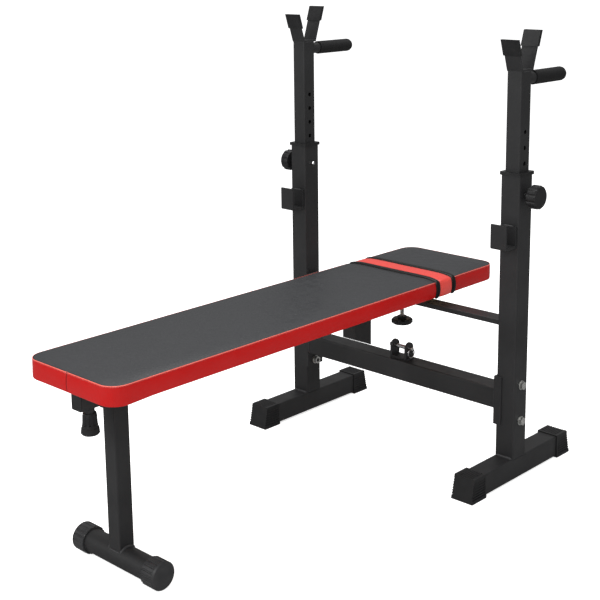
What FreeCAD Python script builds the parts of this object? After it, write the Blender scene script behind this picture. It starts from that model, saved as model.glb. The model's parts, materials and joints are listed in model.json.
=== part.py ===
"""Flat weight bench joined to a two-post barbell rack: a parametric FreeCAD document.

Millimetres, +Z up, +Y from the bench's front towards the rack, +X to the right. The origin is on
the floor, midway between the two uprights. Every size comes from the sheet "Sizes".
"""
import FreeCAD, Part
import Sketcher
import math
import os
import re

from FreeCAD import Placement, Rotation, Vector

SIZES = {
    # sizes below have their Y from the uprights' line, and this moves it to the frame's origin
    "mid_length": 387,
    # rack frame
    "rack_half": 322,        # upright's centre from the middle plane
    "tube_wide": 50,         # square tube of uprights, feet and cross beam
    "tube_wall": 2,
    "tube_corner": 4,
    "foot_low": 3,           # underside of the foot tubes, on the sole of their caps
    "foot_front": -174,
    "foot_rear": 198,
    "upright_top": 709,
    "beam_low": 163,
    "flange_low": 128,
    "flange_high": 243,
    "flange_thick": 5,
    "flange_wrap": 15,       # how far the flange's lips reach over the upright
    "flange_lip": 3,
    "bolt_low": 141,
    "bolt_high": 226,
    "bolt_radius": 5,
    "bolt_flats": 9.8,       # corner radius of bolt heads and nuts
    "bolt_head": 6.5,
    "washer_radius": 10.5,
    "washer_thick": 2,
    "hole_play": 0.3,        # radial room of a plain bolt hole
    "thread_play": 0.05,     # radial room between a screw and its nut
    # foot caps
    "sole_half": 29,
    "cap_half": 27,
    "cap_high": 55.5,
    "cap_long": 54,
    "cap_end": 13,
    "cap_slope": 10,         # how far the closed end leans in at the top
    "groove_deep": 1,
    "groove_wide": 3,
    "groove_pitch": 6,
    # support bar and clamp screw
    "bar_low": 362,
    "bar_thick": 12,
    "bar_deep": 40,
    "bar_wall": 1.5,
    "nut_high": 8,
    "star_low": 301,
    "star_high": 315,
    "star_radius": 26,
    "star_hub": 11,
    "lobe_radius": 6,
    "screw_top": 388,
    # clevis on the cross beam
    "ear_half": 24.5,
    "ear_thick": 5,
    "ear_deep": 30,
    "clevis_pin_high": 28,   # pin axis above the beam
    "clevis_pin_radius": 5,
    "pin_left": -37,
    "pin_right": 34,
    "ring_at": 29.5,
    "ring_radius": 11.5,
    "ring_wire": 1.3,
    "ring_hole": 2.9,
    # bar hooks on the uprights
    "hook_wide": 40,
    "hook_low": 549,
    "hook_lip": 605,
    "hook_back": 598,
    "hook_reach": 43,        # from the upright's face to the lip's front
    "hook_thick": 5,
    # telescopic posts
    "post_wide": 38,
    "post_wall": 2,
    "post_corner": 3,
    "post_long": 520,
    "notch_pitch": 35,
    "first_hole": 132,       # top of the post to its first hole
    "pin_height": 664,
    "pin_radius": 5,
    "pin_play": 0.3,
    "collar_half": 28,
    "collar_lip": 7,
    "collar_deep": 38,
    "slide_play": 0.3,
    "glide_high": 8,
    # bar cradles
    "cradle_low": 0,         # cradle's underside above the post's top
    "cradle_thick": 4,
    "cradle_slant": 4.2,     # the same plate measured level across a leaning arm
    "cradle_lean": 0.32,     # run of an arm for one of rise
    "arm_front": -19,
    "arm_rear": 24,
    "front_rise": 67,
    "rear_rise": 84,
    "cradle_half": 19.5,
    "sleeve_skin": 2.2,
    "sleeve_long": 33,
    # dip handles
    "handle_drop": 18,
    "handle_radius": 11,
    "socket_radius": 13.5,
    "socket_end": 50,
    "handle_end": 165,
    "grip_radius": 16,
    "grip_end": 174,
    # lock knobs
    "knob_radius": 26.5,
    "knob_hub": 10,
    "knob_start": 3,         # from the upright's face to the hub
    "knob_rim": 16,
    "knob_end": 38,
    "flute_radius": 4.5,
    "pin_tip": 7,            # how far the pin stands out of the inner face
    # bench frame
    "main_wide": 30,
    "main_high": 40,
    "main_low": 356,
    "main_front": -960,
    "main_rear": 110,
    "notch_half": 21,
    "saddle_thick": 4,
    "plug_head": 3,
    "plug_stem": 14,
    "plate_thick": 4,
    "plate_half": 95,
    "plate_deep": 40,
    "front_plate": -820,
    "middle_plate": -400,
    "rear_plate": 70,
    "screw_spread": 75,
    "wood_screw": 3,
    "screw_head": 6,
    # pad
    "pad_half": 137,
    "pad_front": -983,
    "pad_rear": 200,
    "pad_low": 400,
    "pad_high": 438,
    "pad_corner": 38,
    "pad_edge": 6,
    "board_inset": 10,
    "board_thick": 11,
    # front leg and round foot
    "leg_line": -873,        # the leg's centre and the foot's axis
    "leg_wide": 36,
    "leg_wall": 2,
    "leg_corner": 3,
    "leg_plate_thick": 4,
    "leg_plate_half": 21,
    "leg_plate_long": 40,
    "leg_bolt": 4,
    "leg_bolt_spread": 28,
    "round_radius": 24,
    "round_wall": 2,
    "round_half": 121,
    "disc_radius": 29,
    "disc_half": 127,
    "disc_long": 36,
    # receiver lock at the bench's front
    "lock_line": -934,
    "cone_low": 302,
    "cone_high": 345,
    "cone_top": 14,
    "cone_band": 14,         # height of the plain band under the flutes
    "cone_wide": 18.2,
    "housing_radius": 10,
    "housing_low": 314,
    "housing_bore": 7.5,
    "plunger_radius": 4,
    "plunger_top": 371,
    "shoulder_low": 345,
    "shoulder_high": 348,
    "spring_radius": 5.9,
    "spring_wire": 0.8,
    "spring_pitch": 5,
    # rear lug
    "lug_front": -196,
    "lug_rear": -138,
    "lug_low": 284,
    "lug_slant": 25,
    "lug_half": 18.5,
    "lug_thick": 4,
}

doc = FreeCAD.newDocument("bench_and_rack")
sheet = doc.addObject("Spreadsheet::Sheet", "Sizes")
for row, (alias, number) in enumerate(SIZES.items(), start=1):
    sheet.set(f"A{row}", alias)
    sheet.set(f"B{row}", str(number))
    sheet.setAlias(f"B{row}", alias)
doc.recompute()

ALONG = {
    "+X": Rotation(Vector(0, 1, 0), 90),
    "-X": Rotation(Vector(0, 1, 0), -90),
    "+Y": Rotation(Vector(1, 0, 0), -90),
    "-Y": Rotation(Vector(1, 0, 0), 90),
    "+Z": Rotation(),
}
SIDES = (("left", -1), ("right", 1))
nodes = {}


# ---- document helpers -------------------------------------------------------------------------

def cell(expression):
    """Turn each size name in an expression into a reference to the sheet."""
    return re.sub(r"[a-z][a-z_]+", lambda word: "Sizes." + word.group(0)
                  if word.group(0) in SIZES else word.group(0), str(expression))


def bind(thing, **expressions):
    """Bind properties to expressions in size names."""
    for path, expression in expressions.items():
        thing.setExpression(path, cell(expression))
    return thing


def place(thing, x=0, y=0, z=0, along="+Z"):
    """Turn a piece's own +Z along an axis and bind the place of its own origin."""
    thing.Placement = Placement(Vector(), ALONG[along])
    for letter, expression in (("x", x), ("y", y), ("z", z)):
        thing.setExpression("Placement.Base." + letter, cell(expression))
    return thing


def keep(label, thing):
    """Record an object as the sub-part of that name, moved so the origin is mid-length."""
    moved = group(thing)
    moved.Label = label
    moved.setExpression("Placement.Base.y", cell("mid_length"))
    nodes[label] = moved


def box(x, y, z, name="block"):
    """A block between two limits along each axis."""
    made = doc.addObject("Part::Box", name)
    bind(made, Length=f"({x[1]}) - ({x[0]})", Width=f"({y[1]}) - ({y[0]})",
         Height=f"({z[1]}) - ({z[0]})")
    return place(made, x[0], y[0], z[0])


def rod(radius, length, x=0, y=0, z=0, along="+Z", name="rod"):
    made = doc.addObject("Part::Cylinder", name)
    bind(made, Radius=radius, Height=length)
    return place(made, x, y, z, along)


def hexagon(radius, height, x=0, y=0, z=0, along="+Z"):
    made = doc.addObject("Part::Prism", "hexagon")
    made.Polygon = 6
    bind(made, Circumradius=radius, Height=height)
    return place(made, x, y, z, along)


def fuse(*things):
    made = doc.addObject("Part::MultiFuse", "joined")
    made.Shapes = list(things)
    return made


def group(*things):
    """Several separate solids kept in one node."""
    made = doc.addObject("Part::Compound", "set")
    made.Links = list(things)
    return made


def cut(base, *tools):
    made = doc.addObject("Part::Cut", "cut")
    made.Base = base
    made.Tool = tools[0] if len(tools) == 1 else group(*tools)
    return made


def new_sketch(body, role):
    sketch = body.newObject("Sketcher::SketchObject", body.Name + "_sketch")
    plane = next(item for item in body.Origin.OriginFeatures if item.Role == role)
    sketch.AttachmentSupport = [(plane, "")]
    sketch.MapMode = "FlatFace"
    return sketch


def outline(sketch, points):
    """Draw a closed outline whose every corner is bound to a pair of expressions."""
    first = sketch.GeometryCount
    turn = 2 * math.pi / len(points)
    starts = [Vector(50 * math.cos(i * turn), 50 * math.sin(i * turn), 0)
              for i in range(len(points))]
    for i, start in enumerate(starts):
        sketch.addGeometry(Part.LineSegment(start, starts[(i + 1) % len(points)]))
    for i, (start, point) in enumerate(zip(starts, points)):
        line = first + i
        follower = first + (i + 1) % len(points)
        sketch.addConstraint(Sketcher.Constraint("Coincident", line, 2, follower, 1))
        for kind, value, expression in (("DistanceX", start.x, point[0]),
                                        ("DistanceY", start.y, point[1])):
            number = sketch.addConstraint(Sketcher.Constraint(kind, -1, 1, line, 1, value))
            sketch.setExpression(f"Constraints[{number}]", cell(expression))
    return sketch


def rectangle(wide, deep):
    return [(f"{a}*({wide})/2", f"{b}*({deep})/2") for a, b in ((-1, -1), (1, -1), (1, 1), (-1, 1))]


def extruded(points, length, role="XY_Plane", name="plate", holes=(), both_ways=False):
    """A PartDesign pad of one outline, with any inner outlines left open."""
    body = doc.addObject("PartDesign::Body", name)
    sketch = new_sketch(body, role)
    for loop in (points, *holes):
        outline(sketch, loop)
    pad = body.newObject("PartDesign::Pad", name + "_pad")
    pad.Profile = sketch
    pad.Midplane = both_ways
    bind(pad, Length=length)
    doc.recompute()
    return body


def turned(points, name="turned"):
    """A PartDesign revolution about the body's own Z of an outline in radius and height."""
    body = doc.addObject("PartDesign::Body", name)
    sketch = outline(new_sketch(body, "XZ_Plane"), points)
    spin = body.newObject("PartDesign::Revolution", name + "_spin")
    spin.Profile = sketch
    spin.ReferenceAxis = (sketch, ["V_Axis"])
    spin.Angle = 360
    doc.recompute()
    return body


def rounded(body, radius, wanted):
    """Fillet those edges of a body's last feature that a test picks."""
    base = body.Tip
    names = [f"Edge{i}" for i, edge in enumerate(base.Shape.Edges, start=1) if wanted(edge)]
    fillet = body.newObject("PartDesign::Fillet", body.Name + "_fillet")
    fillet.Base = (base, names)
    bind(fillet, Radius=radius)
    doc.recompute()
    return body


def along_z(edge):
    """Whether an edge runs straight along its body's own Z."""
    ends = edge.Vertexes
    return len(ends) == 2 and abs(ends[0].X - ends[1].X) + abs(ends[0].Y - ends[1].Y) < 0.01


def tube(wide, deep, wall, corner, length, name="tube"):
    """A rectangular tube along its own Z, with rounded outer corners."""
    body = extruded(rectangle(wide, deep), length, name=name,
                    holes=[rectangle(f"{wide} - 2*{wall}", f"{deep} - 2*{wall}")])
    reach = max(abs(v.X) for v in body.Shape.Vertexes)
    return rounded(body, corner, lambda edge: along_z(edge)
                   and abs(abs(edge.Vertexes[0].X) - reach) < 0.01)


def ring(radius, bore, height, **where):
    """A flat washer or a short sleeve."""
    return place(turned([(bore, 0), (radius, 0), (radius, height), (bore, height)]), **where)


# ---- rack: feet, uprights, cross beam ---------------------------------------------------------

def foot_cap(sign_x, outer, inward):
    """A ribbed shoe over one end of a foot tube: flared sides, a flat sole and a sloped end."""
    half = "sole_half"
    skin = place(extruded([(f"-{half}", 0), (half, 0), ("cap_half", "cap_high"),
                           ("-cap_half", "cap_high")], "cap_long", role="XZ_Plane", name="cap"),
                 f"{sign_x}*rack_half", outer if inward < 0 else f"{outer} + cap_long", 0)
    inner = (f"{outer} + cap_end", f"{outer} + cap_long + 1")
    if inward < 0:
        inner = (f"{outer} - cap_long - 1", f"{outer} - cap_end")
    middle = f"{sign_x}*rack_half"
    socket = box((f"{middle} - tube_wide/2 - 0.1", f"{middle} + tube_wide/2 + 0.1"), inner,
                 ("foot_low", "foot_low + tube_wide + 0.1"))
    beyond = f"{outer} - {inward}"
    slope = extruded([(beyond, -1), (outer, -1), (outer, 0), (f"{outer} + {inward}*cap_slope",
                     "cap_high"), (f"{outer} + {inward}*cap_slope", "cap_high + 1"),
                     (beyond, "cap_high + 1")], "2*sole_half + 4", role="YZ_Plane",
                     both_ways=True, name="slope")
    place(slope, middle)
    run = (f"{outer} - 1", f"{outer} + cap_long - 4")
    if inward < 0:
        run = (f"{outer} - cap_long + 4", f"{outer} + 1")
    grooves = []
    for i in range(-3, 4):
        at = f"{middle} + {i}*groove_pitch"
        grooves.append(box((f"{at} - groove_wide/2", f"{at} + groove_wide/2"), run,
                           ("cap_high - groove_deep", "cap_high + 1")))
        level = f"cap_high/2 + {i}*groove_pitch"
        for side in (-1, 1):
            wall = f"{middle} + {side}*(cap_half + 1)"
            ends = (f"{wall} - 1.6", f"{wall} + 3")
            if side < 0:
                ends = (f"{wall} - 3", f"{wall} + 1.6")
            grooves.append(box(ends, run, (f"{level} - groove_wide/2", f"{level} + groove_wide/2")))
    return cut(skin, socket, slope, *grooves)


def rack_side(side, sign):
    middle = f"{sign}*rack_half"
    outer_face = f"{sign}*(rack_half + tube_wide/2)"
    inner_face = f"{sign}*(rack_half - tube_wide/2)"
    out, back = ("+X", "-X") if sign > 0 else ("-X", "+X")

    foot = tube("tube_wide", "tube_wide", "tube_wall", "tube_corner", "foot_rear - foot_front")
    keep(f"{side}_foot_tube", place(foot, middle, "foot_front", "foot_low + tube_wide/2", "+Y"))
    keep(f"{side}_front_foot_cap", foot_cap(sign, "foot_front - cap_end", 1))
    keep(f"{side}_rear_foot_cap", foot_cap(sign, "foot_rear + cap_end", -1))

    upright = tube("tube_wide", "tube_wide", "tube_wall", "tube_corner",
                   "upright_top - foot_low - tube_wide")
    place(upright, middle, 0, "foot_low + tube_wide")
    bores = [rod(radius, "tube_wide + 2", f"{inner_face} - {sign}", 0, height, out)
             for radius, height in (("pin_radius + pin_play", "pin_height"),
                                    ("bolt_radius + hole_play", "bolt_low"),
                                    ("bolt_radius + hole_play", "bolt_high"))]
    keep(f"{side}_upright", cut(upright, *bores))

    # a channel round the upright's inner half, which the beam is welded to
    web, lips = f"{sign}*(rack_half - tube_wide/2 - flange_thick)", "tube_wide/2 + flange_lip"
    channel = box(sorted_pair(web, f"{inner_face} + {sign}*flange_wrap", sign),
                  (f"-({lips})", lips), ("flange_low", "flange_high"))
    room = box(sorted_pair(inner_face, f"{inner_face} + {sign}*(flange_wrap + 1)", sign),
               ("-tube_wide/2", "tube_wide/2"), ("flange_low - 1", "flange_high + 1"))
    bores = [rod("bolt_radius + hole_play", "flange_thick + 2", f"{inner_face} + {sign}", 0,
                 height, back) for height in ("bolt_low", "bolt_high")]
    keep(f"{side}_beam_flange", cut(channel, room, *bores))

    # a bush in the upright's mouth: a lip on top and a skirt that guides the post
    bore = "post_wide + 2*slide_play"
    lip = tube("2*collar_half", "2*collar_half", "(collar_half - post_wide/2 - slide_play)",
               "tube_corner", "collar_lip")
    skirt = tube("tube_wide - 2*tube_wall - 0.2", "tube_wide - 2*tube_wall - 0.2",
                 f"((tube_wide - 2*tube_wall - 0.2) - ({bore}))/2", "post_corner", "collar_deep")
    keep(f"{side}_collar", fuse(place(lip, middle, 0, "upright_top"),
                                place(skirt, middle, 0, "upright_top - collar_deep")))

    # a J-shaped plate that catches a barbell in front of the upright
    face, lip = "-tube_wide/2", "-tube_wide/2 - hook_reach"
    hook = extruded([(face, "hook_low"), (face, "hook_back"), (f"{face} - hook_thick", "hook_back"),
                     (f"{face} - hook_thick", "hook_low + hook_thick"),
                     (f"{lip} + hook_thick", "hook_low + hook_thick"),
                     (f"{lip} + hook_thick", "hook_lip"), (lip, "hook_lip"), (lip, "hook_low")],
                    "hook_wide", role="YZ_Plane", name="hook", both_ways=True)
    rounded(hook, "hook_thick*0.9", lambda edge: is_corner(
        edge, -sheet.tube_wide / 2 - sheet.hook_reach, sheet.hook_low))
    keep(f"{side}_bar_hook", place(hook, middle))


def sorted_pair(near, far, sign):
    return (near, far) if sign > 0 else (far, near)


def is_corner(edge, y, z):
    """Whether an edge runs along X through that place."""
    return all(abs(v.Y - y) < 0.01 and abs(v.Z - z) < 0.01 for v in edge.Vertexes)


def cross_beam():
    reach = "rack_half - tube_wide/2 - flange_thick"
    beam = tube("tube_wide", "tube_wide", "tube_wall", "tube_corner", f"2*({reach})")
    keep("cross_beam", place(beam, f"-({reach})", 0, "beam_low + tube_wide/2", "+X"))

    bolts, washers, nuts = [], [], []
    outer = "rack_half + tube_wide/2"
    inner = "rack_half - tube_wide/2 - flange_thick"
    for _, sign in SIDES:
        out, back = ("+X", "-X") if sign > 0 else ("-X", "+X")
        for height in ("bolt_low", "bolt_high"):
            head = hexagon("bolt_flats", "bolt_head", f"{sign}*({outer} + washer_thick)", 0,
                           height, out)
            shank = rod("bolt_radius", f"{outer} - {inner} + 2*washer_thick + nut_high + 4",
                        f"{sign}*({outer} + washer_thick)", 0, height, back)
            bolts.append(fuse(head, shank))
            hole = "bolt_radius + thread_play"
            washers.append(ring("washer_radius", hole, "washer_thick", x=f"{sign}*({outer})",
                                z=height, along=out))
            washers.append(ring("washer_radius", hole, "washer_thick", x=f"{sign}*({inner})",
                                z=height, along=back))
            start = f"{sign}*({inner} - washer_thick)"
            nuts.append(cut(hexagon("bolt_flats", "nut_high", start, 0, height, back),
                            rod(hole, "nut_high + 2", f"{start} + {sign}", 0, height, back)))
    keep("beam_bolts", group(*bolts))
    keep("beam_washers", group(*washers))
    keep("beam_nuts", group(*nuts))


# ---- rack: sliding posts with cradle, handle and lock knob ------------------------------------

def post_top(sign):
    """Height of a post's top: the left one is set one hole higher."""
    holes = 4 if sign > 0 else 5
    return f"(pin_height + first_hole + {holes}*notch_pitch)"


def sliding_post(side, sign):
    middle, top = f"{sign}*rack_half", post_top(sign)
    post = tube("post_wide", "post_wide", "post_wall", "post_corner", "post_long")
    place(post, middle, 0, f"{top} - post_long")
    bores = [rod("pin_radius + pin_play", "post_wide + 2", f"{middle} - post_wide/2 - 1", 0,
                 f"{top} - first_hole - {i}*notch_pitch", "+X") for i in range(8)]
    keep(f"{side}_post", cut(post, *bores))

    # the plug in the post's foot keeps it central in the upright
    width = "tube_wide - 2*tube_wall - 2*slide_play"
    shoe = rounded(extruded(rectangle(width, width), "glide_high", name="shoe"), "post_corner",
                   along_z)
    spigot = extruded(rectangle("post_wide - 2*post_wall - 0.4", "post_wide - 2*post_wall - 0.4"),
                      "glide_high*2", name="spigot")
    keep(f"{side}_post_glide", fuse(place(shoe, middle, 0, f"{top} - post_long - glide_high"),
                                    place(spigot, middle, 0, f"{top} - post_long - 1")))
    bar_cradle(side, middle, top)
    dip_handle(side, middle, top)


def bar_cradle(side, middle, top):
    """A bent plate with two leaning arms, each in a plastic sleeve."""
    inside = f"{top} + cradle_thick"
    front, rear = "arm_front", "arm_rear"
    tip_front, tip_rear = f"{front} - cradle_lean*front_rise", f"{rear} + cradle_lean*rear_rise"
    plate = extruded([
        (front, top), (tip_front, f"{top} + front_rise"),
        (f"{tip_front} + cradle_slant", f"{top} + front_rise"),
        (f"{front} + cradle_slant - cradle_lean*cradle_thick", inside),
        (f"{rear} - cradle_slant + cradle_lean*cradle_thick", inside),
        (f"{tip_rear} - cradle_slant", f"{top} + rear_rise"),
        (tip_rear, f"{top} + rear_rise"), (rear, top)],
        "2*cradle_half", role="YZ_Plane", name="cradle", both_ways=True)
    keep(f"{side}_cradle", place(plate, middle))

    def sleeve(tip, rise, lean, low_y, high_y):
        bottom = f"{rise} - sleeve_long"
        shift = f"{lean}*cradle_lean"
        skin = "sleeve_skin"
        points = []
        for level in (bottom, f"{rise} + {skin}"):
            at = f"{tip} + {shift}*(({level}) - ({rise}))"
            points.append(((f"{at} + {low_y} - {skin}", f"{top} + {level}"),
                           (f"{at} + {high_y} + {skin}", f"{top} + {level}")))
        (a, b), (c, d) = points
        return place(extruded([a, b, d, c], "2*cradle_half + 2*sleeve_skin", role="YZ_Plane",
                              name="sleeve", both_ways=True), middle)

    covers = [sleeve(tip_front, "front_rise", -1, "0", "cradle_slant"),
              sleeve(tip_rear, "rear_rise", 1, "-cradle_slant", "0")]
    keep(f"{side}_cradle_sleeves", group(*(cut(cover, plate) for cover in covers)))


def dip_handle(side, middle, top):
    """A short bar out of the post's rear face, with a domed rubber grip on it."""
    level = f"{top} - handle_drop"
    start = "post_wide/2"
    bar = turned([(0, 0), ("socket_radius", 0), ("socket_radius", f"socket_end - {start} - 2"),
                  ("socket_radius - 1.5", f"socket_end - {start}"),
                  ("handle_radius", f"socket_end - {start}"),
                  ("handle_radius", f"handle_end - {start}"), (0, f"handle_end - {start}")],
                 name="handle")
    keep(f"{side}_handle_bar", place(bar, middle, start, level, "+Y"))
    long = "grip_end - socket_end"
    grip = turned([("handle_radius + 0.1", 0), ("grip_radius - 1", 0), ("grip_radius", 1),
                   ("grip_radius", f"{long} - 13"), ("grip_radius*0.94", f"{long} - 8"),
                   ("grip_radius*0.78", f"{long} - 3.5"), ("grip_radius*0.5", f"{long} - 0.9"),
                   (0, long), (0, "handle_end - socket_end + 0.1"),
                   ("handle_radius + 0.1", "handle_end - socket_end + 0.1")], name="grip")
    keep(f"{side}_handle_grip", place(grip, middle, "socket_end", level, "+Y"))


def lock_knob(side, sign):
    """A fluted knob on a through pin that locks the post's height."""
    out = "+X" if sign > 0 else "-X"
    face = f"{sign}*(rack_half + tube_wide/2)"
    knob = turned([(0, "knob_start + 10"), ("pin_radius + 0.1", "knob_start + 10"),
                   ("pin_radius + 0.1", "knob_start"), ("knob_hub", "knob_start"),
                   ("knob_hub + 1", "knob_rim - 4"), ("knob_radius - 2", "knob_rim - 1"),
                   ("knob_radius", "knob_rim + 2"), ("knob_radius", "knob_end - 3"),
                   ("knob_radius - 3", "knob_end"), (0, "knob_end")], name="knob")
    place(knob, face, 0, "pin_height", out)
    flutes = []
    for i in range(11):
        turn = 2 * math.pi * i / 11
        flutes.append(rod("flute_radius", "knob_end - knob_rim + 10", f"{face} + {sign}*(knob_rim - 4)",
                          f"{math.cos(turn):.9f}*(knob_radius + 1.6)",
                          f"pin_height + {math.sin(turn):.9f}*(knob_radius + 1.6)", out))
    keep(f"{side}_lock_knob", cut(knob, *flutes))
    reach = "tube_wide + pin_tip + knob_start + 9.9"
    pin = turned([(0, 0), ("pin_radius - 1.5", 0), ("pin_radius", 2), ("pin_radius", reach),
                  (0, reach)], name="pin")
    keep(f"{side}_lock_pin", place(pin, f"{face} - {sign}*(tube_wide + pin_tip)", 0,
                                   "pin_height", out))


# ---- rack: support bar, clamp screw and clevis ------------------------------------------------

def support_bar():
    reach = "rack_half - tube_wide/2"
    bar = tube("bar_thick", "bar_deep", "bar_wall", "bar_wall", f"2*({reach})")
    place(bar, f"-({reach})", 0, "bar_low + bar_thick/2", "+X")
    keep("support_bar", cut(bar, rod("bolt_radius + hole_play", "bar_thick + 2", 0, 0,
                                     "bar_low - 1")))
    nut = hexagon("bolt_flats", "nut_high", 0, 0, "bar_low - nut_high")
    keep("bar_nut", cut(nut, rod("bolt_radius + thread_play", "nut_high + 2", 0, 0,
                                 "bar_low - nut_high - 1")))


def clamp_screw():
    knob = turned([(0, "star_low"), ("star_radius - 4", "star_low"),
                   ("star_radius", "star_low + 3"), ("star_radius", "star_high - 4"),
                   ("star_radius - 4", "star_high - 1"), ("star_hub", "star_high"),
                   ("star_hub", "star_high + 5"), ("bolt_radius", "star_high + 5"),
                   ("bolt_radius", "star_low + 4"), (0, "star_low + 4")], name="star")
    gaps = []
    for i in range(8):
        turn = 2 * math.pi * (i + 0.5) / 8
        gaps.append(rod("lobe_radius", "star_high - star_low + 2",
                        f"{math.cos(turn):.9f}*(star_radius + lobe_radius*0.25)",
                        f"{math.sin(turn):.9f}*(star_radius + lobe_radius*0.25)", "star_low - 1"))
    keep("star_knob", cut(knob, *gaps))
    keep("clamp_screw", turned([(0, "star_low + 4"), ("bolt_radius", "star_low + 4"),
                                ("bolt_radius", "screw_top - 3"), ("bolt_radius - 2", "screw_top"),
                                (0, "screw_top")], name="screw"))


def clevis():
    """A U bracket welded on the cross beam, with a quick pin held by a pull ring."""
    floor, axle = "beam_low + tube_wide", "(beam_low + tube_wide + clevis_pin_high)"
    inner = "ear_half - ear_thick"
    base = box(("-ear_half", "ear_half"), ("-ear_deep/2", "ear_deep/2"),
               (floor, f"{floor} + ear_thick"))
    pieces = [base]
    for sign in (-1, 1):
        start = f"{sign}*({inner})"
        pieces.append(box(sorted_pair(start, f"{sign}*ear_half", sign),
                          ("-ear_deep/2", "ear_deep/2"), (f"{floor} + ear_thick", axle)))
        pieces.append(rod("ear_deep/2", "ear_thick", start, 0, axle, "+X" if sign > 0 else "-X"))
    bore = rod("clevis_pin_radius + thread_play", "2*ear_half + 2", "-ear_half - 1", 0, axle, "+X")
    keep("clevis_bracket", cut(fuse(*pieces), bore))
    long = "pin_right - pin_left"
    pin = turned([(0, 0), ("clevis_pin_radius - 2", 0), ("clevis_pin_radius", 3),
                  ("clevis_pin_radius", f"{long} - 1"), ("clevis_pin_radius - 1", long),
                  (0, long)], name="clevis_pin")
    place(pin, "pin_left", 0, axle, "+X")
    keep("clevis_pin", cut(pin, rod("ring_hole", "4*clevis_pin_radius", "ring_at",
                                    "-2*clevis_pin_radius", axle, "+Y")))
    hoop = doc.addObject("Part::Torus", "hoop")
    bind(hoop, Radius1="ring_radius", Radius2="ring_wire")
    keep("clevis_ring", place(hoop, "ring_at", 0, f"{axle} - ring_radius", "+X"))


# ---- bench ------------------------------------------------------------------------------------

def bench_frame():
    main = tube("main_wide", "main_high", "tube_wall", "leg_corner", "main_rear - main_front")
    place(main, 0, "main_front", "main_low + main_high/2", "+Y")
    notch = box(("-main_wide", "main_wide"), ("-notch_half", "notch_half"),
                ("main_low - 1", "bar_low + bar_thick"))
    bores = [rod("leg_bolt + hole_play", "6", 0, f"leg_line + {a}*leg_bolt_spread", "main_low - 2")
             for a in (-1, 1)]
    bores.append(rod("plunger_radius + hole_play", "6", 0, "lock_line", "main_low - 2"))
    keep("main_tube", cut(main, notch, *bores))

    # a small plate closes the notch's roof and takes the clamp screw's tip
    inner = "main_wide/2 - tube_wall"
    roof = "bar_low + bar_thick"
    saddle = box((f"-({inner})", inner), ("-notch_half", "notch_half"),
                 (roof, f"{roof} + saddle_thick"))
    keep("bench_saddle", cut(saddle, rod("bolt_radius + hole_play", "saddle_thick + 2", 0, 0,
                                         f"{roof} - 1")))

    plugs = []
    level = "main_low + main_high/2"
    for start, along, inward in (("main_front", "-Y", 1), ("main_rear", "+Y", -1)):
        head = rounded(extruded(rectangle("main_wide", "main_high"), "plug_head", name="plug"),
                       "leg_corner", along_z)
        stem = extruded(rectangle("main_wide - 2*tube_wall - 0.4", "main_high - 2*tube_wall - 0.4"),
                        "plug_stem", name="stem")
        plugs.append(fuse(place(head, 0, start, level, along),
                          place(stem, 0, f"{start} + {inward}*plug_stem", level, along)))
    keep("main_tube_plugs", group(*plugs))

    # a tongue with a slanted lower end, folded to a channel that is open at the rear
    lug = extruded([("lug_front", "lug_low + lug_slant"), ("lug_rear", "lug_low"),
                    ("lug_rear", "main_low"), ("lug_front", "main_low")], "2*lug_half",
                   role="YZ_Plane", both_ways=True, name="lug")
    hollow = box(("lug_thick - lug_half", "lug_half - lug_thick"),
                 ("lug_front + lug_thick", "lug_rear + 1"), ("lug_low - 1", "main_low + 1"))
    keep("rear_lug", cut(lug, hollow))


def pad():
    wide, long = "2*pad_half", "(pad_rear - pad_front)"
    centre = "(pad_rear + pad_front)/2"
    cushion = extruded(rectangle(wide, long), "pad_high - pad_low", name="cushion")
    rounded(cushion, "pad_corner", along_z)
    top = sheet.pad_high - sheet.pad_low
    rounded(cushion, "pad_edge", lambda edge: edge.BoundBox.ZMin > top - 0.01)
    place(cushion, 0, centre, "pad_low")
    board_size = rectangle("2*pad_half - 2*board_inset", f"{long} - 2*board_inset")
    board = rounded(extruded(board_size, "board_thick", name="board"), "pad_corner - board_inset",
                    along_z)
    place(board, 0, centre, "pad_low")
    keep("pad_cushion", cut(cushion, board))

    screws, holes = [], []
    lines = ("front_plate", "middle_plate", "rear_plate")
    for line in lines:
        for a in (-1, 1):
            at = f"{a}*screw_spread"
            under = "pad_low - plate_thick"
            screws.append(fuse(rod("screw_head", 3, at, line, f"{under} - 3"),
                               rod("wood_screw", "plate_thick + 9", at, line, under)))
            holes.append(rod("wood_screw + 0.1", 9.2, at, line, "pad_low - 0.1"))
    keep("pad_board", cut(board, *holes))
    keep("pad_screws", group(*screws))
    straps = []
    for line in lines:
        plate = rounded(extruded(rectangle("2*plate_half", "plate_deep"), "plate_thick",
                                 name="strap"), "plate_deep*0.3", along_z)
        place(plate, 0, line, "pad_low - plate_thick")
        straps.append(cut(plate, *(rod("wood_screw + 0.1", "plate_thick + 2", f"{a}*screw_spread",
                                       line, "pad_low - plate_thick - 1") for a in (-1, 1))))
    keep("pad_plates", group(*straps))


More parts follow.
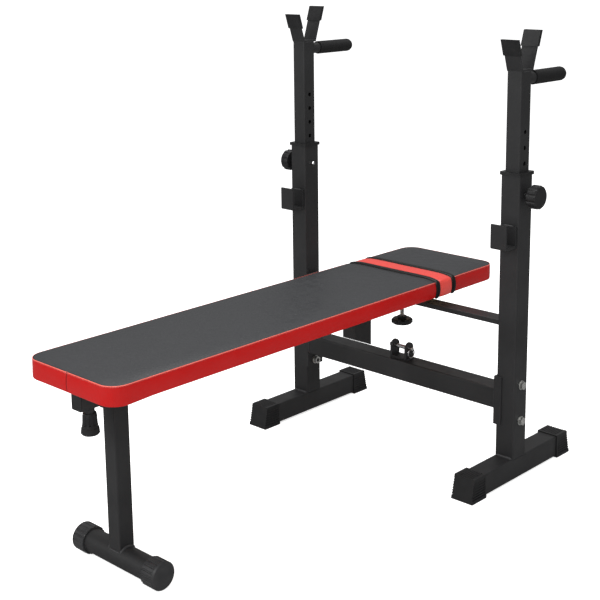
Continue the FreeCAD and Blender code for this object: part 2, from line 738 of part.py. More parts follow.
def front_leg():
    axis_z = "disc_radius"
    under = "main_low - leg_plate_thick"
    leg = tube("leg_wide", "leg_wide", "leg_wall", "leg_corner", f"{under} - {axis_z}")
    place(leg, 0, "leg_line", axis_z)
    core = rod("round_radius", "2*round_half", "-round_half", "leg_line", axis_z, "+X")
    keep("front_leg", cut(leg, core))
    plate = box(("-leg_plate_half", "leg_plate_half"),
                ("leg_line - leg_plate_long", "leg_line + leg_plate_long"), (under, "main_low"))
    spots = [f"leg_line + {a}*leg_bolt_spread" for a in (-1, 1)]
    keep("leg_plate", cut(plate, *(rod("leg_bolt + hole_play", "leg_plate_thick + 2", 0, spot,
                                       f"{under} - 1") for spot in spots)))
    bolts, nuts = [], []
    for spot in spots:
        bolts.append(fuse(hexagon("leg_bolt*1.9", 5, 0, spot, f"{under} - 5"),
                          rod("leg_bolt", "leg_plate_thick + 12", 0, spot, under)))
        inside = "main_low + tube_wall"
        nuts.append(cut(hexagon("leg_bolt*1.9", 6, 0, spot, inside),
                        rod("leg_bolt + thread_play", 8, 0, spot, f"{inside} - 1")))
    keep("leg_bolts", group(*bolts))
    keep("leg_nuts", group(*nuts))

    sleeve = ring("round_radius", "round_radius - round_wall", "2*round_half", x="-round_half",
                  y="leg_line", z=axis_z, along="+X")
    keep("front_foot_tube", sleeve)
    for side, sign in SIDES:
        out = "+X" if sign > 0 else "-X"
        start = f"{sign}*(disc_half - disc_long)"
        cap = turned([("round_radius + 0.1", 0), ("disc_radius - 1", 0), ("disc_radius", 1),
                      ("disc_radius", "disc_long - 3"), ("disc_radius - 3", "disc_long"),
                      (0, "disc_long"), (0, "disc_long - disc_half + round_half"),
                      ("round_radius + 0.1", "disc_long - disc_half + round_half")], name="disc")
        place(cap, start, "leg_line", axis_z, out)
        ribs = []
        for i in range(18):
            turn = 2 * math.pi * (i + 0.5) / 18
            ribs.append(rod(2.3, "disc_long - 3", f"{start} - {sign}*1",
                            f"leg_line + {math.cos(turn):.9f}*(disc_radius + 0.5)",
                            f"{axis_z} + {math.sin(turn):.9f}*(disc_radius + 0.5)", out))
        keep(f"front_foot_{side}_cap", cut(cap, *ribs))


def receiver_lock():
    """A spring plunger under the bench's front end, pulled down by a cone-shaped knob."""
    at = {"x": 0, "y": "lock_line"}
    cavity = "housing_radius + 0.6"
    band = "cone_low + cone_band"
    knob = turned([(0, "cone_low"), ("cone_wide - 2.5", "cone_low"),
                   ("cone_wide", "cone_low + 3"), ("cone_wide - 1", f"{band} - 1"),
                   ("cone_wide - 2.2", band), ("cone_top + 0.6", f"{band} + 9"),
                   ("cone_top", "cone_high - 6"), ("cone_top - 1", "cone_high"),
                   (cavity, "cone_high"),
                   (cavity, "housing_low - 1"), ("plunger_radius", "housing_low - 1"),
                   ("plunger_radius", "cone_low + 5"), (0, "cone_low + 5")], name="cone")
    place(knob, **at)
    flutes = []
    for i in range(10):
        turn = 2 * math.pi * i / 10
        flutes.append(rod(2.6, "cone_high - cone_low", f"{math.cos(turn):.9f}*(cone_top + 1.6)",
                          f"lock_line + {math.sin(turn):.9f}*(cone_top + 1.6)",
                          f"{band} + 5"))
    keep("cone_knob", cut(knob, *flutes))
    housing = turned([("plunger_radius + 0.3", "housing_low"), ("housing_radius", "housing_low"),
                      ("housing_radius", "main_low"), ("housing_bore", "main_low"),
                      ("housing_bore", "housing_low + 4"),
                      ("plunger_radius + 0.3", "housing_low + 4")], name="housing")
    keep("plunger_housing", place(housing, **at))
    pin = turned([(0, "cone_low + 5"), ("plunger_radius", "cone_low + 5"),
                  ("plunger_radius", "shoulder_low"), ("housing_bore - 0.3", "shoulder_low"),
                  ("housing_bore - 0.3", "shoulder_high"), ("plunger_radius", "shoulder_high"),
                  ("plunger_radius", "plunger_top - 2"), ("plunger_radius - 2", "plunger_top"),
                  (0, "plunger_top")], name="plunger")
    keep("plunger_pin", place(pin, **at))

    low = sheet.housing_low + 4 + sheet.spring_wire + 0.1
    high = sheet.shoulder_low - sheet.spring_wire - 0.1
    coil = Part.makeHelix(sheet.spring_pitch, high - low, sheet.spring_radius)
    section = Part.Wire(Part.makeCircle(sheet.spring_wire, Vector(sheet.spring_radius, 0, 0),
                                        Vector(0, 1, 0)))
    spring = doc.addObject("Part::Feature", "spring")
    spring.Shape = Part.Wire(coil).makePipeShell([section], True, True)
    spring.Placement = Placement(Vector(0, sheet.lock_line, low), Rotation())
    keep("plunger_spring", spring)


# ---- build, check and write -------------------------------------------------------------------

for side, sign in SIDES:
    rack_side(side, sign)
    sliding_post(side, sign)
    lock_knob(side, sign)
cross_beam()
support_bar()
clamp_screw()
clevis()
bench_frame()
pad()
front_leg()
receiver_lock()
doc.recompute()

for thing in doc.Objects:
    if {"Invalid", "Error"} & set(thing.State):
        raise RuntimeError(f"{thing.Label} failed: {thing.State}")
for label, thing in nodes.items():
    if thing.Shape.isNull() or not thing.Shape.isValid() or not thing.Shape.Solids:
        raise RuntimeError(f"{label} has no valid solid")

os.makedirs("parts", exist_ok=True)
for label, thing in nodes.items():
    thing.Shape.exportStep(f"parts/{label}.step")
    print(f"{label}: {len(thing.Shape.Solids)} solids, {thing.Shape.Volume / 1000:.1f} cm3")
print(len(nodes), "sub-parts")
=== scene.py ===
"""Looks of a padded weight bench and its barbell rack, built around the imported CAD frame.

Metres, in the row frame: +Z up, +Y from the bench's front end to the rack, origin on the floor.
"""

import json
import math

import bmesh
import bpy
import numpy as np
from mathutils import Matrix, Vector, noise
from mathutils.bvhtree import BVHTree


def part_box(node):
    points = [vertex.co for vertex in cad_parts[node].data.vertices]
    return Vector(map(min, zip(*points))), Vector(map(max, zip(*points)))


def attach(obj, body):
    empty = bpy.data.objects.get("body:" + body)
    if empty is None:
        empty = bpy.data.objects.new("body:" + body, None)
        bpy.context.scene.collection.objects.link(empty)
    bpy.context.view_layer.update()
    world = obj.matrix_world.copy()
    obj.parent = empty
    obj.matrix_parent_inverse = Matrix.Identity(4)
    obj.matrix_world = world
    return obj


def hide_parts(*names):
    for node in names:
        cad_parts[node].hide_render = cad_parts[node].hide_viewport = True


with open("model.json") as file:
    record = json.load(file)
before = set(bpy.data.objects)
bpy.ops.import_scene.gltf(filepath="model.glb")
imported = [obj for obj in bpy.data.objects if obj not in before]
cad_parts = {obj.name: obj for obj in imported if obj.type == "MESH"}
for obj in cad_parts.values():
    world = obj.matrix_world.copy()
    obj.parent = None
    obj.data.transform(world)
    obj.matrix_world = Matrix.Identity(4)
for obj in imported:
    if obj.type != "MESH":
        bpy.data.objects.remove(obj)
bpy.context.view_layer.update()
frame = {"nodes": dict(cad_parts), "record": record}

MM = 0.001
SIDES = (("left", -1), ("right", 1))


# ---- materials ----------------------------------------------------------------------------------

class Shader:
    """A material under construction: its Principled node, and helpers to add what drives it."""

    def __init__(self, name, colour, roughness, **sockets):
        self.material = bpy.data.materials.new(name)
        self.material.use_nodes = True
        self.tree = self.material.node_tree
        self.main = self.tree.nodes["Principled BSDF"]
        self.main.inputs["Base Color"].default_value = (*colour, 1)
        self.main.inputs["Roughness"].default_value = roughness
        for socket, value in sockets.items():
            self.main.inputs[socket.replace("_", " ")].default_value = value
        self.place = self.tree.nodes.new("ShaderNodeTexCoord").outputs["Object"]

    def node(self, kind, settings=(), **inputs):
        """A new node. Its inputs are named with _ for a space, and take numbers or outputs."""
        made = self.tree.nodes.new(kind)
        for key, value in dict(settings).items():
            setattr(made, key, value)
        for key, value in inputs.items():
            socket = made.inputs[key.replace("_", " ")]
            if isinstance(value, bpy.types.NodeSocket):
                self.tree.links.new(value, socket)
            else:
                socket.default_value = value
        return made

    def noise(self, scale, detail=2.0, roughness=0.5):
        return self.node("ShaderNodeTexNoise", Vector=self.place, Scale=scale, Detail=detail,
                         Roughness=roughness).outputs["Fac"]

    def cells(self, scale, feature="F1"):
        return self.node("ShaderNodeTexVoronoi", {"feature": feature}, Vector=self.place,
                         Scale=scale).outputs["Distance"]

    def spread(self, value, low, high, start=0.3, end=0.7):
        """Map a texture's value from start..end to low..high."""
        made = self.node("ShaderNodeMapRange", Value=value)
        for socket, number in zip(made.inputs[1:5], (start, end, low, high)):
            socket.default_value = number
        return made.outputs["Result"]

    def blend(self, factor, first, second):
        """A colour between two others."""
        made = self.node("ShaderNodeMix", {"data_type": "RGBA"})
        self.tree.links.new(factor, made.inputs["Factor"])
        for socket, colour in ((made.inputs[6], first), (made.inputs[7], second)):
            if isinstance(colour, bpy.types.NodeSocket):
                self.tree.links.new(colour, socket)
            else:
                socket.default_value = (*colour, 1)
        return made.outputs[2]

    def edges(self, width):
        """1 on the object's sharp edges, 0 on its faces."""
        soft = self.node("ShaderNodeBevel", {"samples": 4}, Radius=width).outputs["Normal"]
        true = self.node("ShaderNodeNewGeometry").outputs["True Normal"]
        likeness = self.node("ShaderNodeVectorMath", {"operation": "DOT_PRODUCT"})
        self.tree.links.new(soft, likeness.inputs[0])
        self.tree.links.new(true, likeness.inputs[1])
        return self.spread(likeness.outputs["Value"], 1.0, 0.0, 0.80, 0.995)

    def drive(self, socket, value):
        """Feed an output into one of the Principled node's inputs."""
        self.tree.links.new(value, self.main.inputs[socket])

    def bump(self, height, distance, strength=1.0):
        """Add a layer of relief over what is there already."""
        made = self.node("ShaderNodeBump", Height=height, Distance=distance, Strength=strength)
        under = self.main.inputs["Normal"]
        if under.links:
            self.tree.links.new(under.links[0].from_socket, made.inputs["Normal"])
        self.tree.links.new(made.outputs["Normal"], under)


def powder_coat(name, lightness=1.0):
    """Black satin powder coat: fine orange peel, faint cloudiness and slightly rubbed edges."""
    coat = Shader(name, (0.012, 0.012, 0.013), 0.42, Specular_IOR_Level=0.28)
    cloud = coat.spread(coat.noise(9.0, 4.0), 0.0, 1.0)
    plain = coat.blend(cloud, *(tuple(lightness * c for c in colour) for colour in
                                ((0.0135, 0.0135, 0.0140), (0.0195, 0.0195, 0.0203))))
    coat.drive("Base Color", coat.blend(coat.edges(1.1 * MM), plain, (0.034, 0.034, 0.036)))
    coat.drive("Roughness", coat.spread(coat.noise(30.0, 5.0), 0.38, 0.50))
    coat.bump(coat.noise(700.0, 2.0), 0.10 * MM, 0.45)
    coat.bump(coat.noise(2600.0, 1.0), 0.03 * MM, 0.5)
    return coat.material


def moulded_plastic(name, lightness=1.0):
    """Black moulded plastic with a fine spark-eroded texture."""
    plastic = Shader(name, (0.008, 0.008, 0.0085), 0.5, Specular_IOR_Level=0.38)
    cloud = plastic.spread(plastic.noise(40.0, 3.0), 0.0, 1.0)
    plain = plastic.blend(cloud, *(tuple(lightness * c for c in colour) for colour in
                                   ((0.006, 0.006, 0.0065), (0.0105, 0.0105, 0.011))))
    plastic.drive("Base Color", plastic.blend(plastic.edges(0.8 * MM), plain, (0.02, 0.02, 0.021)))
    plastic.drive("Roughness", plastic.spread(plastic.noise(160.0, 3.0), 0.36, 0.48))
    plastic.bump(plastic.noise(3200.0, 2.0), 0.05 * MM, 0.6)
    return plastic.material


def grip_rubber():
    """Dull foam rubber with open pores, painted darker inside as shade."""
    rubber = Shader("grip_rubber", (0.006, 0.006, 0.0062), 0.78, Specular_IOR_Level=0.25)
    pores = rubber.spread(rubber.cells(1500.0), 0.0, 1.0, 0.05, 0.5)
    # painted shade: the pores are darkened towards 0.003
    rubber.drive("Base Color", rubber.blend(pores, (0.003, 0.003, 0.003), (0.0085, 0.0085, 0.009)))
    rubber.drive("Roughness", rubber.spread(rubber.noise(220.0, 3.0), 0.70, 0.88))
    rubber.bump(pores, 0.10 * MM, 0.5)
    return rubber.material


def bright_metal(name, tint, roughness):
    """Plated steel: faint cloudiness and fine scuffs."""
    metal = Shader(name, tint, roughness, Metallic=1.0)
    cloud = metal.spread(metal.noise(120.0, 4.0), 0.0, 1.0)
    metal.drive("Base Color", metal.blend(cloud, tuple(0.82 * c for c in tint), tint))
    metal.drive("Roughness", metal.spread(metal.noise(420.0, 5.0), roughness * 0.7,
                                          roughness * 1.5))
    metal.bump(metal.noise(1800.0, 2.0), 0.02 * MM, 0.5)
    return metal.material


def vinyl(name, colour, roughness, cloudiness=0.05, specular=0.5):
    """Upholstery vinyl: pebbled grain, creases between the pebbles painted darker as shade, slight
    unevenness.
    """
    skin = Shader(name, colour, roughness, Specular_IOR_Level=specular)
    cloud = skin.spread(skin.noise(7.0, 4.0), 0.0, 1.0)
    darker = tuple(c * (1 - cloudiness) for c in colour)
    lighter = tuple(c * (1 + cloudiness) for c in colour)
    grain = skin.spread(skin.cells(620.0, "DISTANCE_TO_EDGE"), 0.0, 1.0, 0.0, 0.16)
    # painted shade: the creases between the pebbles are darkened to 0.84 of the colour
    crease_shade = skin.blend(grain, tuple(c * 0.84 for c in colour),
                         skin.blend(cloud, darker, lighter))
    skin.drive("Base Color", crease_shade)
    skin.drive("Roughness", skin.spread(skin.noise(55.0, 4.0), roughness - 0.06, roughness + 0.08))
    skin.bump(skin.noise(26.0, 3.0), 0.5 * MM, 0.08)
    skin.bump(grain, 0.08 * MM, 0.36)
    skin.bump(skin.noise(1900.0, 2.0), 0.04 * MM, 0.35)
    return skin.material


def thread(name, colour):
    """Twisted sewing thread."""
    yarn = Shader(name, colour, 0.6, Sheen_Weight=0.3)
    ply = yarn.noise(2400.0, 1.0)
    yarn.drive("Base Color", yarn.blend(yarn.spread(ply, 0.0, 1.0),
                                        tuple(0.7 * c for c in colour), colour))
    yarn.bump(ply, 0.10 * MM, 0.6)
    return yarn.material


def plywood():
    """Raw birch plywood with long grain along the board."""
    wood = Shader("plywood", (0.50, 0.34, 0.19), 0.62)
    stretch = wood.node("ShaderNodeMapping", Vector=wood.place)
    stretch.inputs["Scale"].default_value = (60.0, 3.0, 60.0)
    figure = wood.node("ShaderNodeTexNoise", Vector=stretch.outputs["Vector"], Scale=1.6, Detail=6.0,
                       Roughness=0.62).outputs["Fac"]
    wood.drive("Base Color", wood.blend(wood.spread(figure, 0.0, 1.0), (0.36, 0.22, 0.11),
                                        (0.62, 0.45, 0.27)))
    wood.drive("Roughness", wood.spread(wood.noise(90.0, 4.0), 0.52, 0.72))
    wood.bump(figure, 0.25 * MM, 0.4)
    return wood.material


coat = powder_coat("powder_coat")
# painted highlight: a copy of the powder coat 2.2 times lighter, standing in for light caught by the
# weld beads
lit_weld_coat = powder_coat("lit_weld_coat", 2.2)
plastic = moulded_plastic("moulded_plastic")
# painted light: a copy of the black plastic 2.6 times lighter, standing in for the light on the front
# caps' disc faces
lit_cap_plastic = moulded_plastic("lit_cap_plastic", 2.6)
rubber = grip_rubber()
chrome = bright_metal("chrome_plate", (0.72, 0.72, 0.73), 0.16)
zinc = bright_metal("zinc_plate", (0.90, 0.90, 0.87), 0.26)
spring_steel = bright_metal("spring_steel", (0.36, 0.36, 0.37), 0.34)
black_vinyl = vinyl("black_vinyl", (0.0235, 0.0245, 0.0270), 0.48, specular=0.42)
red_vinyl = vinyl("red_vinyl", (0.37, 0.003, 0.0025), 0.34, specular=0.20)
stripe_vinyl = vinyl("stripe_vinyl", (0.64, 0.050, 0.038), 0.34, specular=0.5)
binding_vinyl = vinyl("binding_vinyl", (0.006, 0.0055, 0.0055), 0.42, specular=0.25)
# painted highlight: a light pink cord colour standing in for the highlight on the boxing's top fold
# edge
welt_highlight_vinyl = vinyl("welt_highlight_vinyl", (0.74, 0.13, 0.10), 0.30, specular=0.6)
# painted shade: a dark red colour for the cord in the front seam's groove, standing in for the shade
# there
seam_shade_vinyl = vinyl("seam_shade_vinyl", (0.10, 0.003, 0.003), 0.5, specular=0.2)
red_thread = thread("red_thread", (0.52, 0.05, 0.04))
board_wood = plywood()

# front foot caps that take the lighter, painted-light copy of the plastic
LIT_CAPS = ("front_foot_left_cap", "front_foot_right_cap")
SLOT_MATERIALS = {"black_steel": coat, "black_plastic": plastic, "black_rubber": rubber,
                  "chrome": chrome, "zinc_steel": zinc, "spring_steel": spring_steel,
                  "pad_cover": black_vinyl, "plywood": board_wood}
for entry in frame["record"]["subparts"]:
    node = frame["nodes"][entry["node"]]
    node.data.materials.clear()
    node.data.materials.append(lit_cap_plastic if entry["node"] in LIT_CAPS
                               else SLOT_MATERIALS[entry["material_slot"]])


# ---- mesh helpers -------------------------------------------------------------------------------

def new_object(name, points, faces, *materials):
    """A smooth-shaded object in the scene."""
    mesh = bpy.data.meshes.new(name)
    mesh.from_pydata([tuple(p) for p in points], [], faces)
    mesh.update()
    for material in materials:
        mesh.materials.append(material)
    for face in mesh.polygons:
        face.use_smooth = True
    made = bpy.data.objects.new(name, mesh)
    bpy.context.scene.collection.objects.link(made)
    return made


def piece(obj, body):
    """An object of the looks that rides on a CAD body."""
    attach(obj, body)
    return obj


def joined(name, parts, body, slot, *materials):
    """One object from several closed meshes, given as (points, faces)."""
    points, faces = [], []
    for more, loops in parts:
        start = len(points)
        points += more
        faces += [tuple(start + i for i in loop) for loop in loops]
    return piece(new_object(name, points, faces, *materials), body)


def subdivide(obj):
    """Smooth an object's mesh once, for good."""
    modifier = obj.modifiers.new("smooth", "SUBSURF")
    modifier.levels = modifier.render_levels = 1
    bpy.context.view_layer.update()
    shape = obj.evaluated_get(bpy.context.evaluated_depsgraph_get())
    mesh = bpy.data.meshes.new_from_object(shape)
    obj.modifiers.clear()
    obj.data = mesh


def round_profile(radius, count=8):
    """A circle of points across a path."""
    return [(radius * math.cos(t), radius * math.sin(t))
            for t in np.radians(np.arange(0, 360, 360 / count))]


def swept(path, profile, closed=False):
    """Closed tube along a path of points. profile(i) gives the ring's (aside, up) pairs at point i."""
    points, faces = [], []
    last = len(path) - 1
    for i, here in enumerate(path):
        before = path[(i - 1) % len(path)] if closed else path[max(i - 1, 0)]
        after = path[(i + 1) % len(path)] if closed else path[min(i + 1, last)]
        along = (after - before).normalized()
        lean = Vector((0, 0, 1)) if abs(along.z) < 0.9 else Vector((0, 1, 0))
        aside = along.cross(lean).normalized()
        up = aside.cross(along)
        points += [here + aside * a + up * b for a, b in profile(i)]
    around = len(profile(0))
    for i in range(len(path) if closed else last):
        row, following = i * around, ((i + 1) % len(path)) * around
        for j in range(around):
            k = (j + 1) % around
            faces.append((row + j, row + k, following + k, following + j))
    if not closed:
        faces.append(tuple(reversed(range(around))))
        faces.append(tuple(last * around + j for j in range(around)))
    return points, faces


# ---- pad ----------------------------------------------------------------------------------------

pad_low, pad_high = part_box("pad_cushion")
board_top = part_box("pad_board")[1].z
PAD_MIDDLE = (pad_low.y + pad_high.y) / 2
PAD_CORNER = 38 * MM
MIN_CORNER = 4 * MM
RIM = 9.5 * MM               # cushion left round the board
LONG_STEPS, SHORT_STEPS, ARC_STEPS = 150, 28, 10
ACROSS = SHORT_STEPS + 2 + ARC_STEPS
LENGTHWAYS = LONG_STEPS + ARC_STEPS
SEAM_SIDE = 2.2 * MM         # half the width of the upright seam at the front
SEAM_DEPTH = 2.2 * MM
CORE_INSET = 42 * MM         # from the pad's outline to the grid in the middle of the top
STRIPE = (344 * MM, 359 * MM, 404 * MM, 419 * MM)   # binding, red band, binding along Y


def perimeter(inset):
    """The pad's outline, moved inwards, as points that start at the middle of the front right arc."""
    half_x = pad_high.x - inset
    half_y = (pad_high.y - pad_low.y) / 2 - inset
    radius = max(PAD_CORNER - inset, MIN_CORNER)
    short = np.linspace(-1, 1, SHORT_STEPS + 1) * (half_x - radius)
    middle = SHORT_STEPS // 2
    short = np.concatenate([short[:middle], [-SEAM_SIDE, 0, SEAM_SIDE], short[middle + 1:]])
    long = np.linspace(-1, 1, LONG_STEPS + 1) * (half_y - radius)
    corners = []
    for sign_x, sign_y, start in ((1, -1, -90), (1, 1, 0), (-1, 1, 90), (-1, -1, 180)):
        angles = np.radians(start + np.linspace(0, 90, ARC_STEPS + 1))
        corners.append([(sign_x * (half_x - radius) + radius * math.cos(a),
                         sign_y * (half_y - radius) + radius * math.sin(a)) for a in angles])
    half = ARC_STEPS // 2
    loop = corners[0][half:]
    loop += [(half_x, y) for y in long[1:-1]] + corners[1]
    loop += [(x, half_y) for x in short[::-1][1:-1]] + corners[2]
    loop += [(-half_x, y) for y in long[::-1][1:-1]] + corners[3]
    loop += [(x, -half_y) for x in short[1:-1]] + corners[0][:half]
    return [(x, y + PAD_MIDDLE) for x, y in loop]


def core_grid(height):
    """A grid whose border has as many points as the outline: points, border indices, faces."""
    half_x = pad_high.x - CORE_INSET
    half_y = (pad_high.y - pad_low.y) / 2 - CORE_INSET
    xs = np.linspace(-half_x, half_x, ACROSS + 1)
    ys = np.linspace(-half_y, half_y, LENGTHWAYS + 1) + PAD_MIDDLE
    points = [(x, y, height) for y in ys for x in xs]
    wide = ACROSS + 1
    border = [j * wide + ACROSS for j in range(LENGTHWAYS)]
    border += [LENGTHWAYS * wide + i for i in range(ACROSS, 0, -1)]
    border += [j * wide for j in range(LENGTHWAYS, 0, -1)]
    border += list(range(ACROSS))
    cells = [(j * wide + i, j * wide + i + 1, (j + 1) * wide + i + 1, (j + 1) * wide + i)
             for j in range(LENGTHWAYS) for i in range(ACROSS)]
    return points, border, cells


# rings of the cover, from the recess over the board, round the side and on to the top panel:
# (inset, height above the pad's underside, held still, red)
THICK = pad_high.z - pad_low.z
RINGS = (
    (RIM, board_top - pad_low.z + 0.4 * MM, True, True),
    (RIM, 5 * MM, True, True),
    (RIM, 0.4 * MM, True, True),
    (6.5 * MM, -0.9 * MM, True, True),
    (3.0 * MM, -0.8 * MM, True, True),
    (1.6 * MM, 0.4 * MM, False, True),
    (1.3 * MM, 3.0 * MM, False, True),
    (1.0 * MM, 8.0 * MM, False, True),
    (1.0 * MM, 13.0 * MM, False, True),
    (1.0 * MM, 18.0 * MM, False, True),
    (1.0 * MM, 23.0 * MM, False, True),
    (1.0 * MM, 28.0 * MM, False, True),
    (1.2 * MM, 32.0 * MM, False, True),
    (1.6 * MM, 34.6 * MM, False, True),
    (2.6 * MM, 36.3 * MM, True, True),
    (3.6 * MM, THICK - 2.6 * MM, True, True),
    (4.2 * MM, THICK - 1.2 * MM, True, False),
    (6.0 * MM, THICK - 0.3 * MM, False, False),
    (9.5 * MM, THICK, False, False),
    (14 * MM, THICK, False, False),
    (20 * MM, THICK, False, False),
    (27 * MM, THICK, False, False),
    (34 * MM, THICK, False, False),
)
LOOSE_RING = 5               # the first that isn't held under the pad
STITCH_RING, WELT_RING, SEAM_RING = 13, 14, 15
SEWN_SHARE = 0.3             # of the lumps, on rings that are sewn down
STRIPE_PULL = 1.7 * MM       # how far the stripe's seams pull the cover in
STRIPE_REACH = 9 * MM
FULL_RINGS = (3, 9)          # the cover hangs full at the front end from ring 3 up to ring 9
FULL_FROM, FULL_OVER = 110 * MM, 80 * MM
FULL_DROP, FULL_OUT = 2.6 * MM, 1.2 * MM
FRONT_DEEP = 20 * MM
CROWN_CAP = 4.0 * MM
SIM_FRAMES = 20


def inflate(obj, held):
    """Puff the cover up by a short cloth simulation and keep the result, capped."""
    rest = np.array([v.co for v in obj.data.vertices])
    pinned = obj.vertex_groups.new(name="held")
    pinned.add(held, 1.0, "REPLACE")
    cloth = obj.modifiers.new("cloth", "CLOTH")
    settings = cloth.settings
    settings.quality = 5
    settings.mass = 0.3
    settings.tension_stiffness = settings.compression_stiffness = 15
    settings.bending_stiffness = 0.5
    settings.use_pressure = True
    settings.uniform_pressure_force = 4.0
    settings.vertex_group_mass = "held"
    settings.effector_weights.gravity = 0
    cloth.collision_settings.use_collision = False
    cloth.point_cache.frame_start, cloth.point_cache.frame_end = 1, SIM_FRAMES
    for number in range(1, SIM_FRAMES + 1):
        bpy.context.scene.frame_set(number)
    shape = obj.evaluated_get(bpy.context.evaluated_depsgraph_get())
    puffed = np.array([v.co for v in shape.data.vertices])
    obj.modifiers.clear()
    obj.vertex_groups.clear()
    bpy.context.scene.frame_set(1)
    move = puffed - rest
    size = np.linalg.norm(move, axis=1, keepdims=True)
    move *= np.tanh(size / CROWN_CAP) * CROWN_CAP / np.maximum(size, 1e-9)
    obj.data.vertices.foreach_set("co", (rest + move).astype(np.float32).ravel())
    obj.data.update()


def smooth_step(value, low, high):
    """0 up to low, 1 from high on, and a soft change between them."""
    t = min(max((value - low) / (high - low), 0.0), 1.0)
    return t * t * (3 - 2 * t)


def worn_place(vertex, ring):
    """Where a vertex goes for the cover's lumps, the stripe's pull, and the seam in the front."""
    place = vertex.co.copy()
    soft = 1.0 if ring >= LOOSE_RING else 0.0
    if ring < len(RINGS) and RINGS[ring][2]:
        soft *= SEWN_SHARE
    lumps = noise.noise(place * 9.0) * 0.55 + noise.noise(place * 26.0) * 0.22
    place += vertex.normal * lumps * MM * soft

    near = min(abs(place.y - STRIPE[0]), abs(place.y - STRIPE[3]))
    inside = STRIPE[0] < place.y < STRIPE[3]
    pull = 1.0 if inside else math.exp(-((near / STRIPE_REACH) ** 2))
    place -= vertex.normal * STRIPE_PULL * pull * soft

    first, end = FULL_RINGS
    if first <= ring < end:
        full = (smooth_step(pad_low.y + FULL_FROM - place.y, 0, FULL_OVER)
                * (end - ring) / (end - first))
        place.z -= FULL_DROP * full
        place += Vector((vertex.normal.x, vertex.normal.y, 0)) * FULL_OUT * full

    at_front = place.y < pad_low.y + FRONT_DEEP
    if LOOSE_RING <= ring < SEAM_RING and at_front and abs(place.x) < 0.5 * SEAM_SIDE:
        place.y += SEAM_DEPTH
    return place


def make_cushion():
    """The cover as one closed mesh of red boxing and a crowned black top, and its sewing lines."""
    points, faces, colours, held = [], [], [], []
    around = len(perimeter(0))
    for inset, height, still, _ in RINGS:
        if still:
            held += range(len(points), len(points) + around)
        points += [(x, y, pad_low.z + height) for x, y in perimeter(inset)]
    for ring in range(len(RINGS) - 1):
        row = ring * around
        for i in range(around):
            k = (i + 1) % around
            faces.append((row + i, row + k, row + around + k, row + around + i))
            colours.append(int(RINGS[ring][3] and RINGS[ring + 1][3]))
    top, border, cells = core_grid(pad_high.z)
    start = len(points)
    points += top
    row = (len(RINGS) - 1) * around
    for i in range(around):
        k = (i + 1) % around
        faces.append((row + i, row + k, start + border[k], start + border[i]))
        colours.append(0)
    faces += [tuple(start + c for c in cell) for cell in cells]
    colours += [0] * len(cells)
    cushion = new_object("pad_cover", points, faces, black_vinyl, red_vinyl)
    for face, colour in zip(cushion.data.polygons, colours):
        face.material_index = colour
    inflate(cushion, held)

    shaped = [worn_place(vertex, index // around)
              for index, vertex in enumerate(cushion.data.vertices)]
    for vertex, place in zip(cushion.data.vertices, shaped):
        vertex.co = place

    lines = [[Vector(shaped[ring * around + i]) for i in range(around)]
             for ring in (STITCH_RING, WELT_RING, SEAM_RING)]
    subdivide(cushion)
    mesh = bmesh.new()
    mesh.from_mesh(cushion.data)
    rim = [edge for edge in mesh.edges if edge.is_boundary]
    for face in bmesh.ops.holes_fill(mesh, edges=rim, sides=0)["faces"]:
        face.material_index = 1
    mesh.normal_update()
    mesh.to_mesh(cushion.data)
    mesh.free()
    return cushion, *lines


cushion, stitch_line, welt_line, seam_line = make_cushion()
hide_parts("pad_cushion")
piece(cushion, "rack_frame")


RAY_REACH = 50 * MM          # how far off the pad the rays start
SMOOTHINGS = 4               # of a band's outer face along its length


def surface_of(obj):
    """An object's mesh, ready for rays."""
    mesh = bmesh.new()
    mesh.from_mesh(obj.data)
    tree = BVHTree.FromBMesh(mesh)
    mesh.free()
    return tree


def fan(x, y, z, angles):
    """Rays from one point, at angles above the X axis."""
    return [(Vector((x, y, z)), Vector((math.cos(a), 0, math.sin(a)))) for a in np.radians(angles)]


def stripe_path(y, tree):
    """Points and outward directions over the pad at one place along it, from rim to rim."""
    low_turn, high_turn = 5 * MM, 10 * MM
    side = pad_high.x - low_turn
    top = pad_high.z - high_turn
    rays = [(Vector((pad_high.x - inset, y, pad_low.z)), Vector((0, 0, -1)))
            for inset in (5.5 * MM, 3.5 * MM)]
    rays += fan(side, y, pad_low.z + low_turn, (-70, -45, -20))
    rays += [(Vector((side, y, pad_low.z + height * MM)), Vector((1, 0, 0)))
             for height in range(6, 30, 3)]
    rays += fan(pad_high.x - high_turn, y, top, range(6, 90, 12))
    rays += [(Vector((x, y, top)), Vector((0, 0, 1)))
             for x in np.arange(pad_high.x - 11 * MM, 0, -5 * MM)]
    points = []
    for start, way in rays:
        hit = tree.ray_cast(start + way * RAY_REACH, -way)[0]
        points.append((hit if hit is not None else start, way))
    mirrored = [(Vector((-p.x, p.y, p.z)), Vector((-w.x, w.y, w.z))) for p, w in points]
    return points + mirrored[::-1]


